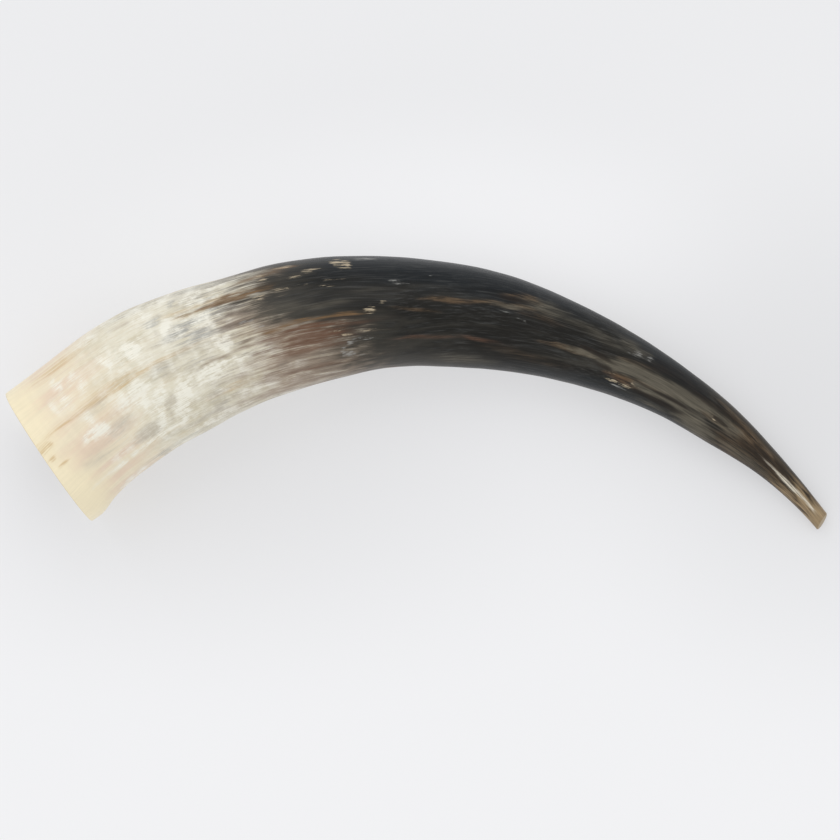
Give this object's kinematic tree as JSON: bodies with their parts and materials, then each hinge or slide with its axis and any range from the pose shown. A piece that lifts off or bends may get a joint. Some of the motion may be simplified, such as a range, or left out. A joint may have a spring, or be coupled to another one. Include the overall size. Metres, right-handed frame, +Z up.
{
  "type": "polished buffalo horn",
  "caption": "Polished buffalo horn lying on its side: a curved, tapering sheath, hollow from its sawn mouth to about half its length and solid to its blunt sawn tip.",
  "frame": {"origin": "middle of the horn's footprint box, on the surface it lies on", "axes": "+X from the mouth's end to the tip's end, along the chord; +Y towards the top of the arch, across the surface; +Z up, away from the surface"},
  "size_m": [0.4092, 0.1398, 0.0717],
  "materials": {
    "horn": "polished horn, satin gloss: cream and white at the mouth, streaking into charcoal along the arch and mottled brown at the tip"
  },
  "bodies": {
    "root": {"horn": "horn"}
  },
  "joints": []
}
